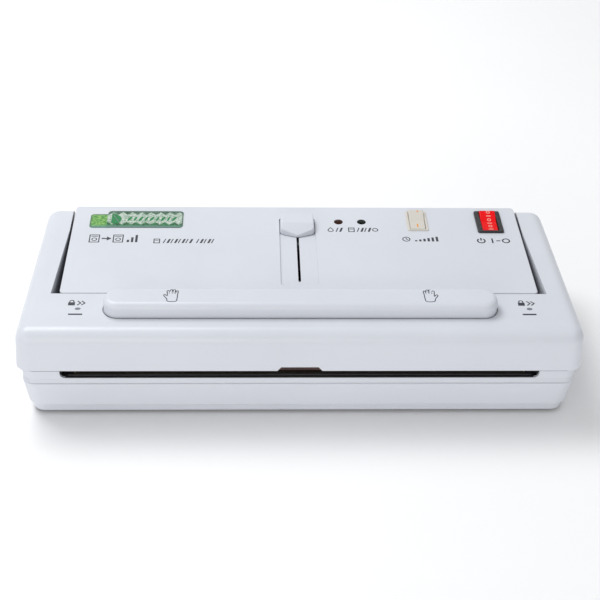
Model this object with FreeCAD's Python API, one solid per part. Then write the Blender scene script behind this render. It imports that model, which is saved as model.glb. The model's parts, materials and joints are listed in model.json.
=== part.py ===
"""Household vacuum packing machine, free standing.

Millimetres, +Z up, +X to the operator's right, +Y to the back.
The drawing counts Y from a line 75 mm behind the front face. The nodes are written CENTRE_Y further
forward, so that their origin is the centre of the bounding box in plan, at the height of the feet.
Rest pose: lid closed, latch slider back (unlocked), both rockers at their first position.
"""
import FreeCAD
import Part
import math
import os

os.makedirs("parts", exist_ok=True)

# ---------------------------------------------------------------- driving dimensions
HALF_LENGTH = 192.5      # lid half length at its lower front edge
FRONT_Y = -75.0          # lid front face
BACK_Y = 80.0            # rear ends of the arms and of the centre box
CENTRE_Y = (FRONT_Y + BACK_Y) / 2
TAPER = 0.03             # plan taper per mm of depth, each side
LID_BOTTOM = 44.8
DECK_TOP = 76.0
WALL = 2.5
LID_DRAFT = 2.5
LID_CORNER_R = 9.5
LID_TOP_R = 9.2

SEAM_LID_Y = -29.7       # rear face of the lid's front deck, at the top
SEAM_SLOPE = 0.088       # that face leans forward on its way down, to clear the swing
SEAM_BOX_Y = -28.9       # front face of the centre box
BOX_HALF = 165.2         # centre box half width
ARM_INNER_X = 166.6      # inner side of the lid's arms
ARM_RIB = 6.8            # thickness of that side
ARM_CHAMFER = (4.2, 22.0)
CHAMFER_END_Y = 46.0

PIN_Y = 67.0
PIN_Z = 57.8
PIN_R = 3.0
RUNNING_GAP = 0.06       # radial clearance of every running fit
ARM_END_R = BACK_Y - PIN_Y

RIM_HALF = 190.4
RIM_FRONT = -72.9
RIM_BACK = 78.9
RIM_WALL = 5.0
LEDGE_TOP = 44.0
LIP_TOP = 36.0
PARTING_Z = 31.5
COVE_TOP = 35.1
COVE_INSET = (0.9, 2.0)  # at the parting line and under the flange
FLANGE_INSET = 1.0
REBATE_Z = 41.9          # the flange steps in here, so a dark gap shows under the lid
REBATE_INSET = 2.6
BED_UNDER = 33.0
BED_TOP = 36.2
BED_Y = (-69.9, -29.3)
BED_HALF = 162.8
MOUTH_HALF = 163.0
MOUTH_CORNER_R = 3.6
NOSE_FRONT = -71.5       # the bed's nose lies on the front lip
NOSE_TOP = 36.5
CHEEK = 0.9
CORNER_R = 9.5
BODY_CORNER_R = 11.0
STEP_CORNER_R = 9.0
SHELL_DRAFT = (2.4, 1.9)

STEP_HALF = 186.0
STEP_FRONT = -66.6
STEP_BACK = 73.5
STEP_TOP = 10.0
FOOT_HEIGHT = 2.5
SHELL_FLOOR = 5.0

BAR_HALF = 133.1
BAR_Y = (-57.0, -36.0)
BAR_BOTTOM = 75.2
BAR_TOP = 86.5
BAR_CORNER_R = 9.8
BAR_EDGE_R = 4.2
BAR_GAP = 0.8

GASKET_HALF = 156.0
GASKET_Y = (-60.3, -35.3)
GASKET_WIDTH = 4.8
TROUGH_HALF = 145.0
TROUGH_Y = (-54.3, -41.2)
TROUGH_FLOOR = 24.0
RECESS_TOP = 60.0
NOZZLE_X = (-100.0, -124.0)
NOZZLE_R = 2.0
LINER_Z = (46.5, 48.5)
RIB_BOTTOM = 44.4
LINER_SCREW_X = 175.0
LINER_SCREW_Y = -38.0
BAR_SCREW_X = (-100.0, 0.0, 100.0)
LID_SCREW_R = 1.5
LID_SCREW_LENGTH = 9.0

SEAL_Y = (-69.6, -61.6)
SEAL_HALF = 158.0
SEAL_TOP = 37.0
SEAL_BOTTOM = 34.6
STRIP_Y = (-67.1, -63.1)
STRIP_HALF = 150.0

SLIDER_TRAVEL = 58.0
KNOB_TIP_Y = 39.9
KNOB_HALF = 12.8
KNOB_BACK_Y = 63.6
KNOB_POINT_DEG = 20.2    # the front edge falls back this much on each side of the tip
KNOB_SLOPE_DEG = 28.8
KNOB_EDGE_Z = 76.9
KNOB_TOP = 82.2
KNOB_EDGE_R = 0.9
SLOT_HALF = 0.9
CHANNEL_HALF = 13.2
CHANNEL_Y = (KNOB_TIP_Y - SLIDER_TRAVEL - 1.2, KNOB_BACK_Y + 0.6)
CHANNEL_DEPTH = 1.0
LATCH_X = 155.0
LATCH_HALF = 2.5
LATCH_Z = (65.5, 69.5)
WINDOW_GAP = 0.9
CROSSBAR_Y = (36.0, 42.0)
NOSE_TIP_Y = 14.0

LED_XY = ((30.9, 59.7), (48.1, 59.7))
LED_R = 3.2
LED_CROWN = 0.4          # rise of the flat lens over its rim

POWER_XY = (143.4, 59.3)
POWER_SIZE = (19.3, 27.8)
POWER_ROCKER = (11.7, 24.0)
TIME_XY = (89.6, 60.8)
TIME_SIZE = (15.8, 25.8)
TIME_ROCKER = (11.2, 22.6)
ROCKER_PIVOT_Z = 74.2
ROCKER_REST_DEG = 8.0
ROCKER_RISE = (2.8, 4.2)  # top face over the pivot, at the middle and at the ends
AXLE_OVERHANG = 0.8
SWITCH_INSET = 0.7       # the switch can is this much smaller than its frame, all round

GLAND_X = -120.0
GLAND_Z = 20.0
GLAND_BACK = 79.6
GLAND_BORE_R = 3.25

MOTOR_Y = 24.0
MOTOR_Z = 32.0
MOTOR_X = (-62.0, -12.0)
MOTOR_R = 17.5
SHAFT_R = 1.6
CAM_X = (-80.0, -72.0)
CAM_R = 7.0
CAM_OFFSET = 2.5
PUMP_X = -76.0

SCREW_SPOTS = ((172.0, -57.0), (172.0, 57.0))
FOOT_SPOTS = ((158.0, -47.0), (158.0, 50.0))

VEC = FreeCAD.Vector


# ---------------------------------------------------------------- helpers
def box(x0, x1, y0, y1, z0, z1):
    return Part.makeBox(x1 - x0, y1 - y0, z1 - z0, VEC(x0, y0, z0))


def rod_x(radius, x0, x1, y, z):
    return Part.makeCylinder(radius, x1 - x0, VEC(x0, y, z), VEC(1, 0, 0))


def rod_y(radius, y0, y1, x, z):
    return Part.makeCylinder(radius, y1 - y0, VEC(x, y0, z), VEC(0, 1, 0))


def rod_z(radius, z0, z1, x, y):
    return Part.makeCylinder(radius, z1 - z0, VEC(x, y, z0), VEC(0, 0, 1))


def join(shapes):
    first, rest = shapes[0], shapes[1:]
    return first.multiFuse(rest).removeSplitter() if rest else first


def carve(shape, tools):
    return shape.cut(Part.makeCompound(tools)) if len(tools) == 1 else shape.cut(tools)


def mirror(shape):
    return shape.mirror(VEC(0, 0, 0), VEC(1, 0, 0))


def both_sides(shape):
    return [shape, mirror(shape)]


def round_edges(shape, radius, wanted):
    return shape.makeFillet(radius, [edge for edge in shape.Edges if wanted(edge)])


def upright(edge):
    ends = edge.Vertexes
    return len(ends) == 2 and abs(ends[0].Z - ends[1].Z) > 0.1


def at_height(z):
    return lambda edge: all(abs(vertex.Z - z) < 1e-4 for vertex in edge.Vertexes)


def plate(x0, x1, y0, y1, z0, z1, corner):
    """Flat block with rounded plan corners."""
    return round_edges(box(x0, x1, y0, y1, z0, z1), corner, upright)


def extrude(outline, z0, z1):
    points = [VEC(x, y, z0) for x, y in outline]
    face = Part.Face(Part.makePolygon(points + points[:1]))
    return face.extrude(VEC(0, 0, z1 - z0))


def extrude_x(outline, x0, x1):
    """Prism along X from an outline of (y, z) points."""
    points = [VEC(x0, y, z) for y, z in outline]
    face = Part.Face(Part.makePolygon(points + points[:1]))
    return face.extrude(VEC(x1 - x0, 0, 0))


def solid_between(first, second):
    """Solid from two matching rings of points; seen from the second ring both run anticlockwise."""
    count = len(first)
    loops = [first[::-1], second]
    for i in range(count):
        j = (i + 1) % count
        loops.append([first[i], first[j], second[j], second[i]])
    faces = [Part.Face(Part.makePolygon(loop + loop[:1])) for loop in loops]
    return Part.makeSolid(Part.makeShell(faces))


def prismoid(low, high, z0, z1):
    return solid_between([VEC(x, y, z0) for x, y in low], [VEC(x, y, z1) for x, y in high])


def tapered_block(half_front, y0, y1, z0, z1, draft=(0.0, 0.0), corner=0.0):
    """Block whose plan narrows towards the back; draft pulls the top in along X and Y."""
    def outline(inset_x, inset_y):
        front = half_front - TAPER * inset_y - inset_x
        back = half_front - TAPER * (y1 - inset_y - y0) - inset_x
        near, far = y0 + inset_y, y1 - inset_y
        return [(-front, near), (front, near), (back, far), (-back, far)]

    solid = prismoid(outline(0.0, 0.0), outline(draft[0], draft[1]), z0, z1)
    return round_edges(solid, corner, upright) if corner else solid


def bent_path(points, reach):
    """Straight runs joined by tangent arcs that start at the given reach from each corner."""
    corners = [VEC(*point) for point in points]
    edges = []
    here = corners[0]
    for before, corner, after in zip(corners, corners[1:], corners[2:]):
        back = (before - corner).normalize()
        ahead = (after - corner).normalize()
        half = back.getAngle(ahead) / 2
        middle = (back + ahead).normalize() * (reach / math.cos(half) - reach * math.tan(half))
        start, end = corner + back * reach, corner + ahead * reach
        edges.append(Part.makeLine(here, start))
        edges.append(Part.Arc(start, corner + middle, end).toShape())
        here = end
    edges.append(Part.makeLine(here, corners[-1]))
    return Part.Wire(edges)


def tube(points, outer, inner, reach):
    """Round hose or wire along a bent path."""
    path = bent_path(points, reach)
    start = VEC(*points[0])
    heading = VEC(*points[1]) - start

    def swept(radius):
        return path.makePipeShell([Part.Wire([Part.makeCircle(radius, start, heading)])], True, True)

    skin = swept(outer)
    return skin.cut(swept(inner)) if inner else skin


def screw(x, y, z_head, z_tip, head_r, shank_r):
    """Pan-head screw whose tip points upwards; its head lies under z_head."""
    low = z_head - head_r * 0.8
    head = rod_z(head_r, low, z_head, x, y)
    shank = rod_z(shank_r, z_head, z_tip, x, y)
    arm, half_slot, depth = head_r * 0.6, 0.35, 1.0
    drive = [box(x - arm, x + arm, y - half_slot, y + half_slot, low - 1, low + depth),
             box(x - half_slot, x + half_slot, y - arm, y + arm, low - 1, low + depth)]
    return carve(head.fuse(shank), drive)


def save(name, *solids):
    shape = solids[0] if len(solids) == 1 else Part.makeCompound(list(solids))
    shape.translate(VEC(0, -CENTRE_Y, 0))
    shape.exportStep("parts/" + name + ".step")


# ---------------------------------------------------------------- lid
def arm_end_relief(radius):
    """Everything outside the round lower rear end of the lid's arms."""
    corner = box(-200, 200, PIN_Y, BACK_Y + 10, LID_BOTTOM - 10, PIN_Z)
    return corner.cut(rod_x(radius, -200, 200, PIN_Y, PIN_Z))


def seam_y(z):
    return SEAM_LID_Y - SEAM_SLOPE * (DECK_TOP - z)


def centre_gap(rib, wall):
    """Space between the lid's arms for the centre box, grown by the walls round it."""
    low, high, half = LID_BOTTOM - 10, DECK_TOP + 10, ARM_INNER_X + rib
    back = BACK_Y + 5
    outline = [(seam_y(low) - wall, low), (back, low), (back, high), (seam_y(high) - wall, high)]
    return extrude_x(outline, -half, half)


def arm_chamfer():
    """Steep cut along an arm's inner top edge, widest at the seam and gone towards the back."""
    across, down = ARM_CHAMFER
    over = 1.6

    def ring(y, width):
        x, z = ARM_INNER_X + width, DECK_TOP
        slope = down / across
        low_z = z - (x - ARM_INNER_X + over) * slope
        top_x = x + over / slope
        inner_x = ARM_INNER_X - over
        return [VEC(inner_x, y, low_z), VEC(inner_x, y, z + over), VEC(top_x, y, z + over)]

    return solid_between(ring(SEAM_LID_Y, across)[::-1], ring(CHAMFER_END_Y, 0.2)[::-1])


def lid_block(inset, z0, z1, corner, top_round):
    slope = LID_DRAFT / (DECK_TOP - LID_BOTTOM)
    half = HALF_LENGTH - inset - slope * (z0 - LID_BOTTOM) - TAPER * inset
    draft = (slope * (z1 - z0), 0.0)
    block = tapered_block(half, FRONT_Y + inset, BACK_Y - inset, z0, z1, draft, corner)
    return round_edges(block, top_round, at_height(z1)).cut(arm_end_relief(ARM_END_R - inset))


def latch_window(y0, y1):
    reach = LATCH_HALF + WINDOW_GAP
    return box(LATCH_X - reach, LATCH_X + reach, y0, y1, LATCH_Z[0] - WINDOW_GAP, LATCH_Z[1] + 1.0)


def finger_notch():
    low, high = LID_BOTTOM - 1, LID_BOTTOM + 3.2
    outline = [(-16.0, low), (16.0, low), (12.6, high), (-12.6, high)]
    points = [VEC(x - 1.0, FRONT_Y - 1, z) for x, z in outline]
    return Part.Face(Part.makePolygon(points + points[:1])).extrude(VEC(0, WALL + 1.5, 0))


def make_lid_shell():
    outer = lid_block(0.0, LID_BOTTOM, DECK_TOP, LID_CORNER_R, LID_TOP_R).cut(centre_gap(0.0, 0.0))
    outer = carve(outer, both_sides(arm_chamfer()))
    cavity = lid_block(WALL, LID_BOTTOM, DECK_TOP - WALL, LID_CORNER_R - WALL, LID_TOP_R - WALL)
    cavity = cavity.cut(centre_gap(ARM_RIB, WALL))
    mouth = tapered_block(HALF_LENGTH - WALL, FRONT_Y + WALL, PIN_Y, LID_BOTTOM - 1, LID_BOTTOM + 0.5)
    mouth = mouth.cut(centre_gap(ARM_RIB, WALL))
    bar_seat = plate(-BAR_HALF - BAR_GAP, BAR_HALF + BAR_GAP, BAR_Y[0] - BAR_GAP, BAR_Y[1] + BAR_GAP,
                     BAR_BOTTOM, DECK_TOP + 1, BAR_CORNER_R + BAR_GAP)
    knuckle = rod_x(7.0, ARM_INNER_X + ARM_RIB - 0.5, 181.0, PIN_Y, PIN_Z)
    tools = [cavity, mouth, bar_seat, finger_notch()]
    shell = carve(outer, tools)
    shell = join([shell] + both_sides(knuckle))
    bore = rod_x(PIN_R + RUNNING_GAP, 160.0, 181.5, PIN_Y, PIN_Z)
    windows = latch_window(SEAM_LID_Y - WALL - 3, SEAM_LID_Y + 1)
    post = rod_z(3.5, LINER_Z[1], DECK_TOP - 1, LINER_SCREW_X, LINER_SCREW_Y)
    pilot_top = LINER_Z[0] + LID_SCREW_LENGTH + 1
    pilot = rod_z(LID_SCREW_R, LINER_Z[1] - 1, pilot_top, LINER_SCREW_X, LINER_SCREW_Y)
    shell = join([shell] + both_sides(post))
    screw_holes = [rod_z(LID_SCREW_R + 0.1, 70, 80, x, sum(BAR_Y) / 2) for x in BAR_SCREW_X]
    return carve(shell, both_sides(bore) + both_sides(windows) + both_sides(pilot) + screw_holes)


def make_grip_bar():
    bar = plate(-BAR_HALF, BAR_HALF, BAR_Y[0], BAR_Y[1], BAR_BOTTOM, BAR_TOP, BAR_CORNER_R)
    bar = round_edges(bar, BAR_EDGE_R, at_height(BAR_TOP))
    inner = BAR_HALF - WALL
    hollow = plate(-inner, inner, BAR_Y[0] + WALL, BAR_Y[1] - WALL, BAR_BOTTOM - 1, BAR_TOP - 3.0,
                   BAR_CORNER_R - WALL)
    bar = bar.cut(hollow)
    middle = sum(BAR_Y) / 2
    posts = [rod_z(4.0, BAR_BOTTOM, 84.5, x, middle) for x in BAR_SCREW_X]
    pilots = [rod_z(LID_SCREW_R, BAR_BOTTOM - 1, 83.0, x, middle) for x in BAR_SCREW_X]
    return carve(join([bar] + posts), pilots)


def make_lid_liner():
    slope = LID_DRAFT / (DECK_TOP - LID_BOTTOM)
    edge_half = HALF_LENGTH - WALL - 0.5 - slope * (LINER_Z[1] - LID_BOTTOM)
    back = seam_y(LINER_Z[0]) - WALL - 0.3
    pan = tapered_block(edge_half, FRONT_Y + WALL + 0.3, back, LINER_Z[0], LINER_Z[1], corner=6.5)
    rib_spots = (STRIP_Y[0] - 1.7, STRIP_Y[1] + 0.2)
    ribs = [box(-153, 153, y, y + 1.5, RIB_BOTTOM, LINER_Z[0] + 0.5) for y in rib_spots]
    opening = box(-TROUGH_HALF, TROUGH_HALF, TROUGH_Y[0], TROUGH_Y[1], LINER_Z[0] - 1, LINER_Z[1] + 1)
    holes = [rod_z(LID_SCREW_R + 0.1, 40, 50, x, LINER_SCREW_Y) for x in (-LINER_SCREW_X, LINER_SCREW_X)]
    return carve(join([pan] + ribs), [opening] + holes)


def walls_round(half, y0, y1, z0, z1, thickness):
    """Two long walls and two end walls that stand around a rectangle."""
    front = box(-half, half, y0 - thickness, y0, z0, z1)
    back = box(-half, half, y1, y1 + thickness, z0, z1)
    end = box(half, half + thickness, y0 - thickness, y1 + thickness, z0, z1)
    return [front, back] + both_sides(end)


def make_recess_cap():
    """Upper half of the vacuum chamber: a roof and four walls standing on the liner round its opening."""
    y0, y1 = TROUGH_Y
    roof = box(-TROUGH_HALF - 2, TROUGH_HALF + 2, y0 - 2, y1 + 2, RECESS_TOP, RECESS_TOP + 2)
    roof = round_edges(roof, 1.0, at_height(RECESS_TOP + 2))
    return [roof] + walls_round(TROUGH_HALF, y0, y1, LINER_Z[1], RECESS_TOP, 2.0)


def ring_gasket(z0, z1):
    outer = plate(-GASKET_HALF, GASKET_HALF, GASKET_Y[0], GASKET_Y[1], z0, z1, 7.0)
    w = GASKET_WIDTH
    inner = plate(-GASKET_HALF + w, GASKET_HALF - w, GASKET_Y[0] + w, GASKET_Y[1] - w, z0 - 1, z1 + 1, 3.5)
    return round_edges(outer.cut(inner), 0.8, at_height(z1 if z0 < LID_BOTTOM - 5 else z0))


def make_press_strip():
    body = box(-152, 152, STRIP_Y[0], STRIP_Y[1], 39.0, LINER_Z[0])
    nose = rod_x(1.6, -152, 152, sum(STRIP_Y) / 2, 39.6)
    return body.fuse(nose).removeSplitter()


def make_strikers():
    block = box(LATCH_X - 4.6, LATCH_X + 4.6, -48.0, -37.0, 62.0, DECK_TOP - WALL)
    block = round_edges(block, 1.0, at_height(62.0))
    return both_sides(block.cut(latch_window(-49.0, -36.0)))


# ---------------------------------------------------------------- base housings
def make_bottom_shell():
    step = tapered_block(STEP_HALF, STEP_FRONT, STEP_BACK, FOOT_HEIGHT, STEP_TOP + 1, corner=STEP_CORNER_R)
    side, end = SHELL_DRAFT
    body = tapered_block(RIM_HALF - side, RIM_FRONT + end, RIM_BACK - end, STEP_TOP, PARTING_Z, (-side, -end),
                         BODY_CORNER_R)
    body = round_edges(body, 2.4, at_height(STEP_TOP))
    body = round_edges(body, 1.0, at_height(PARTING_Z))
    well = tapered_block(STEP_HALF - WALL, STEP_FRONT + WALL, STEP_BACK - WALL, SHELL_FLOOR, 15.0,
                         corner=STEP_CORNER_R - WALL)
    room = tapered_block(RIM_HALF - side - WALL, RIM_FRONT + end + WALL, RIM_BACK - end - WALL,
                         13.0, PARTING_Z + 1, (0.2 - side, 0.2 - end), BODY_CORNER_R - WALL)
    shell = carve(join([step, body]), [well, room])
    posts = [rod_z(2.5, SHELL_FLOOR - 0.5, 11.0, x, y) for x in (-2.0, 54.0) for y in (-16.0, 20.0)]
    bosses = [rod_z(5.5, SHELL_FLOOR - 0.5, 8.0, x, y) for x, y in SCREW_SPOTS]
    bosses += [mirror(boss) for boss in bosses]
    shell = join([shell] + posts + bosses)
    tools = [rod_z(8.0, 0, 4.0, x, y) for x, y in FOOT_SPOTS]
    tools += [rod_z(3.6, 0, 5.5, x, y) for x, y in SCREW_SPOTS]
    tools += [rod_z(1.8, 0, 10, x, y) for x, y in SCREW_SPOTS]
    tools += [mirror(tool) for tool in tools]
    tools += [plate(x - 1.5, x + 1.5, 36.0, 60.0, 0, 6, 1.45) for x in range(-60, 61, 10)]
    tools.append(rod_y(5.0, GLAND_BACK - 14, GLAND_BACK + 5, GLAND_X, GLAND_Z))
    return carve(shell, tools)


def make_rim():
    """Cove above the parting line, the flange over it and the narrower crown that the lid comes down over."""
    def ring(inset, z0, z1, draft=0.0):
        return tapered_block(RIM_HALF - inset, RIM_FRONT + inset, RIM_BACK - inset, z0, z1, (draft, draft),
                             CORNER_R - inset)

    cove = ring(COVE_INSET[0], PARTING_Z, COVE_TOP + 0.3, COVE_INSET[1] - COVE_INSET[0])
    flange = round_edges(ring(FLANGE_INSET, COVE_TOP, REBATE_Z), 0.4, at_height(COVE_TOP))
    flange = round_edges(flange, 0.5, at_height(REBATE_Z))
    crown = round_edges(ring(REBATE_INSET, REBATE_Z - 0.5, LEDGE_TOP), 0.6, at_height(LEDGE_TOP))
    return join([cove, flange, crown])


def housing_hollows():
    inner = RIM_HALF - RIM_WALL
    front, back = RIM_FRONT + RIM_WALL, RIM_BACK - RIM_WALL
    box_front = SEAM_BOX_Y + WALL
    low = tapered_block(inner, front, back, PARTING_Z - 1, BED_UNDER, corner=4.0)
    rear_half = inner - TAPER * (box_front - front)
    rear = tapered_block(rear_half, box_front, back, BED_UNDER - 0.5, LEDGE_TOP - WALL)
    side_x, side_back = MOUTH_HALF + 3.0, SEAM_BOX_Y - 2
    side_outline = [(side_x, front), (inner, front), (inner - 1.1, side_back), (side_x, side_back)]
    side = extrude(side_outline, BED_UNDER - 0.5, LEDGE_TOP - WALL)
    box_half = BOX_HALF - WALL
    upper = box(-box_half, box_half, box_front, BACK_Y - WALL, LEDGE_TOP - WALL - 1, DECK_TOP - WALL)
    return [low, rear, upper] + both_sides(side)


def mouth_cuts():
    """Opening through the front lip with round lower corners, and the pocket for the seal bed behind it."""
    front = box(-MOUTH_HALF, MOUTH_HALF, -90, SEAM_BOX_Y, LIP_TOP, LEDGE_TOP + 10)
    low_ends = [edge for edge in front.Edges if at_height(LIP_TOP)(edge) and edge.Length < MOUTH_HALF]
    front = front.makeFillet(MOUTH_CORNER_R, low_ends)
    return [front, box(-MOUTH_HALF, MOUTH_HALF, BED_Y[0] - 0.2, SEAM_BOX_Y, BED_UNDER, LEDGE_TOP + 10)]


def make_seal_bed():
    """Bed as plain blocks: the seal bar's seat with its nose and shoulders, then a frame round the trough."""
    y0, y1 = BED_Y
    seat_y0, seat_y1 = SEAL_Y
    hole_half, hole_y0, hole_y1 = TROUGH_HALF + 1, TROUGH_Y[0] - 1, TROUGH_Y[1] + 1
    nose_half = MOUTH_HALF - MOUTH_CORNER_R - 0.1
    blocks = [box(-BED_HALF, BED_HALF, y0, seat_y1, BED_UNDER, SEAL_BOTTOM),
              box(-BED_HALF, BED_HALF, y0, seat_y0, SEAL_BOTTOM, LIP_TOP),
              box(-nose_half, nose_half, NOSE_FRONT, seat_y0, LIP_TOP, NOSE_TOP),
              box(-BED_HALF, BED_HALF, seat_y1, hole_y0, BED_UNDER, BED_TOP),
              box(-BED_HALF, BED_HALF, hole_y1, y1, BED_UNDER, BED_TOP)]
    shoulder = box(SEAL_HALF, BED_HALF, seat_y0, seat_y1, SEAL_BOTTOM, BED_TOP)
    beside = box(hole_half, BED_HALF, hole_y0, hole_y1, BED_UNDER, BED_TOP)
    cheek = box(BED_HALF - CHEEK, BED_HALF, seat_y0, y1, BED_TOP, LEDGE_TOP - 0.3)
    return blocks + both_sides(shoulder) + both_sides(beside) + both_sides(cheek)


def centre_box():
    block = box(-BOX_HALF, BOX_HALF, SEAM_BOX_Y, BACK_Y, LIP_TOP, DECK_TOP)
    block = round_edges(block, 3.0, upright)
    block = round_edges(block, 0.8, at_height(DECK_TOP))
    return block.fuse(box(-BOX_HALF, BOX_HALF, SEAM_BOX_Y, SEAM_BOX_Y + WALL, BED_UNDER, LIP_TOP + 1))


def panel_cuts():
    channel = plate(-CHANNEL_HALF, CHANNEL_HALF, CHANNEL_Y[0], CHANNEL_Y[1],
                    DECK_TOP - CHANNEL_DEPTH, DECK_TOP + 1, 2.0)
    slot = plate(-SLOT_HALF, SLOT_HALF, -14.4, 56.5, DECK_TOP - 5, DECK_TOP + 1, 0.85)
    leds = [rod_z(LED_R + 0.1, 70, 80, x, y) for x, y in LED_XY]
    switches = []
    for (x, y), (width, length) in ((POWER_XY, POWER_SIZE), (TIME_XY, TIME_SIZE)):
        half_w, half_l = width / 2 - SWITCH_INSET + 0.1, length / 2 - SWITCH_INSET + 0.1
        switches.append(box(x - half_w, x + half_w, y - half_l, y + half_l, 70, 80))
    return [channel, slot] + leds + switches


def make_upper_housing():
    body = carve(join([make_rim(), centre_box()]), housing_hollows() + mouth_cuts())
    screw_posts = [rod_z(4.0, 8.0, LEDGE_TOP - 2, x, y) for x, y in SCREW_SPOTS]
    switch_posts = [box(170.5, 181.5, y, y + 3, 28.0, LEDGE_TOP - 2) for y in (-13.3, 10.3)]
    board_posts = [rod_z(2.0, 59.6, DECK_TOP - 2, x, y) for x in (23.0, 73.0) for y in (53.0, 67.0)]
    body = join([body] + screw_posts + [mirror(post) for post in screw_posts] + switch_posts + board_posts)
    tools = panel_cuts()
    tools += [rod_z(1.6, 0, 22, sign * x, y) for x, y in SCREW_SPOTS for sign in (1, -1)]
    tools += both_sides(latch_window(SEAM_BOX_Y - 1, SEAM_BOX_Y + WALL + 1))
    tools += both_sides(rod_x(PIN_R, 150, 170, PIN_Y, PIN_Z))
    tools.append(rod_z(1.9, 40, 50, 176.0, 0.0))
    return carve(body, tools)


def make_trough():
    """Sheet-metal trough: a floor with two drains and four walls that end just above the bed."""
    y0, y1 = TROUGH_Y
    floor = box(-TROUGH_HALF - 1, TROUGH_HALF + 1, y0 - 1, y1 + 1, TROUGH_FLOOR - 1.2, TROUGH_FLOOR)
    drains = [rod_z(NOZZLE_R, 14.0, TROUGH_FLOOR + 1, x, (y0 + y1) / 2) for x in NOZZLE_X]
    return [carve(floor, drains)] + walls_round(TROUGH_HALF, y0, y1, TROUGH_FLOOR, BED_TOP + 0.6, 1.0)


def make_nozzles():
    middle = sum(TROUGH_Y) / 2
    pipes = [rod_z(NOZZLE_R, 15.0, TROUGH_FLOOR, x, middle) for x in NOZZLE_X]
    return [pipe.cut(rod_z(1.1, 14, 30, x, middle)) for pipe, x in zip(pipes, NOZZLE_X)]


def make_seal_bar():
    y0, y1 = SEAL_Y
    foot = box(-SEAL_HALF, SEAL_HALF, y0, y1, SEAL_BOTTOM, SEAL_TOP)
    foot = round_edges(foot, 0.6, at_height(SEAL_TOP))
    relief = box(-SEAL_HALF + 6, SEAL_HALF - 6, y0 + 2.0, y1 - 2.0, SEAL_BOTTOM - 1, SEAL_TOP - 1.2)
    return foot.cut(relief)


def make_element():
    y0, y1 = STRIP_Y
    ribbon = box(-STRIP_HALF, STRIP_HALF, y0, y1, SEAL_TOP, SEAL_TOP + 0.25)
    tape_half = STRIP_HALF + 3
    tape = box(-tape_half, tape_half, SEAL_Y[0] + 0.5, SEAL_Y[1] - 0.5, SEAL_TOP + 0.25, SEAL_TOP + 0.5)
    clip = box(STRIP_HALF, STRIP_HALF + 4, y0 + 0.2, y1 - 0.2, SEAL_TOP, SEAL_TOP + 0.25)
    return ribbon, tape, both_sides(clip)


def make_gland():
    def ring(radius, start, stop):
        return rod_y(radius, GLAND_BACK + start, GLAND_BACK + stop, GLAND_X, GLAND_Z)

    flange = ring(6.4, -1.1, 0.0)
    rear_edges = [e for e in flange.Edges if all(abs(v.Y - GLAND_BACK) < 1e-4 for v in e.Vertexes)]
    flange = flange.makeFillet(0.6, rear_edges)
    return join([flange, ring(5.0, -10.0, -0.9), ring(6.4, -8.6, -6.2)]).cut(ring(GLAND_BORE_R, -15, 5))


def make_hinge():
    bracket = plate(154.2, BOX_HALF - WALL, PIN_Y - 9, PIN_Y + 9, 50.0, 65.4, 1.5)
    pin = rod_x(PIN_R, 154.2, 180.6, PIN_Y, PIN_Z)
    pin = pin.makeChamfer(0.5, [edge for edge in pin.Edges if len(edge.Vertexes) == 1])
    return both_sides(bracket.cut(rod_x(PIN_R, 150, 170, PIN_Y, PIN_Z))), both_sides(pin)


# ---------------------------------------------------------------- panel controls
def make_slider_knob():
    shoulder_y = KNOB_TIP_Y + KNOB_HALF * math.tan(math.radians(KNOB_POINT_DEG))
    low = [(-KNOB_HALF, shoulder_y), (0.0, KNOB_TIP_Y), (KNOB_HALF, shoulder_y), (KNOB_HALF, KNOB_BACK_Y),
           (-KNOB_HALF, KNOB_BACK_Y)]
    middle, shrink = (KNOB_TIP_Y + KNOB_BACK_Y) / 2, 0.93
    high = [(x * shrink, middle + (y - middle) * shrink) for x, y in low]
    knob = round_edges(prismoid(low, high, DECK_TOP - CHANNEL_DEPTH + 0.3, KNOB_TOP), 3.4, upright)
    above = box(-40, 40, -40, 40, 0, 20)
    above.rotate(VEC(0, 0, 0), VEC(1, 0, 0), KNOB_SLOPE_DEG)
    above.translate(VEC(0, KNOB_TIP_Y, KNOB_EDGE_Z))
    knob = knob.cut(above)
    return round_edges(knob, KNOB_EDGE_R, lambda edge: min(v.Z for v in edge.Vertexes) > KNOB_EDGE_Z - 0.4)


def make_slider_carriage():
    (y0, y1), (z0, z1) = CROSSBAR_Y, LATCH_Z
    blade = box(-0.5, 0.5, 46.0, 54.0, 70.0, 75.3)
    block = box(-6.0, 6.0, y0, 56.0, z1 - 0.5, 71.6)
    crossbar = box(-LATCH_X - LATCH_HALF, LATCH_X + LATCH_HALF, y0, y1, z0, z1)
    groove = box(-LATCH_X + 5, LATCH_X - 5, y0 + 1.5, y1 - 1.5, z0 - 1, z1 - 1.5)
    arm = box(LATCH_X - LATCH_HALF, LATCH_X + LATCH_HALF, NOSE_TIP_Y, y0 + 1, z0, z1)
    tip = [edge for edge in arm.Edges if all(abs(v.Y - NOSE_TIP_Y) < 1e-4 for v in edge.Vertexes)]
    return join([crossbar.cut(groove), block, blade] + both_sides(arm.makeChamfer(1.2, tip)))


def make_slider_guides():
    return both_sides(box(6.4, 9.0, -22.0, 58.0, 70.2, DECK_TOP - WALL))


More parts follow.
